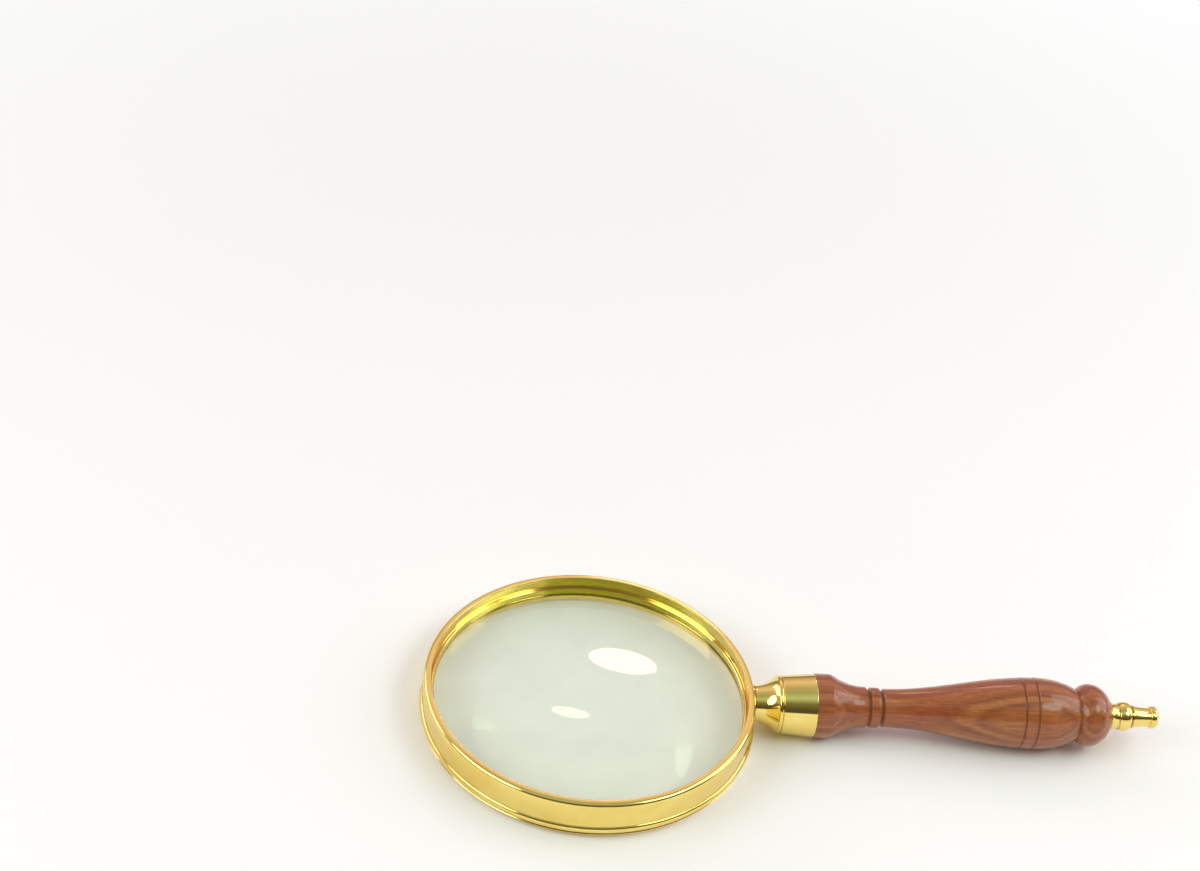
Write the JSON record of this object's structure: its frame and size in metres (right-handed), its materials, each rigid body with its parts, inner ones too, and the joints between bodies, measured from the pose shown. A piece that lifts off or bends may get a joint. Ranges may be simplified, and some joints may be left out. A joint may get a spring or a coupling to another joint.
{
  "type": "hand magnifier",
  "caption": "Round hand magnifier: a clear biconvex lens held by a screwed ring in a turned brass rim, on a brass neck and a turned wooden handle with a brass finial.",
  "frame": {"origin": "on the lens axis, at half the height of the brass rim", "axes": "+X from the lens along the handle to its finial, +Z along the lens axis towards the side from which the lens and its retaining ring are fitted; the foot of the rim faces -Z"},
  "size_m": [0.2396, 0.1068, 0.023],
  "materials": {
    "polished_brass": "turned and polished brass, clear lacquered",
    "lens_glass": "ground and polished clear crown glass",
    "polished_rosewood": "turned rosewood, wax polished",
    "bright_steel": "bright zinc-plated steel"
  },
  "bodies": {
    "frame": {"rim": "polished_brass", "neck": "polished_brass", "tie_rod": "bright_steel", "rod_nut": "bright_steel"},
    "lens": {"lens": "lens_glass"},
    "retaining_ring": {"retaining_ring": "polished_brass"},
    "handle": {"ferrule": "polished_brass", "handle": "polished_rosewood", "finial_washer": "polished_brass"},
    "finial": {"finial": "polished_brass"}
  },
  "joints": [
    {"name": "lens_lift", "type": "slide", "parent": "frame", "child": "lens", "axis": [0, 0, 1], "range_m": [0, 0.0015]},
    {"name": "ring_turn", "type": "hinge", "parent": "lens", "child": "retaining_ring", "pos_m": [0, 0, 0.00137], "axis": [0, 0, 1], "range_deg": [0, 720]},
    {"name": "handle_draw", "type": "slide", "parent": "frame", "child": "handle", "axis": [1, 0, 0], "range_m": [0, 0.007]},
    {"name": "finial_turn", "type": "hinge", "parent": "handle", "child": "finial", "pos_m": [0.179, 0, 0], "axis": [1, 0, 0], "range_deg": [0, 3600]}
  ],
  "couplings": [
    {"joint": "ring_turn", "follows": "lens_lift", "rad_per_m": 8377.6},
    {"joint": "finial_turn", "follows": "handle_draw", "rad_per_m": 8976}
  ]
}
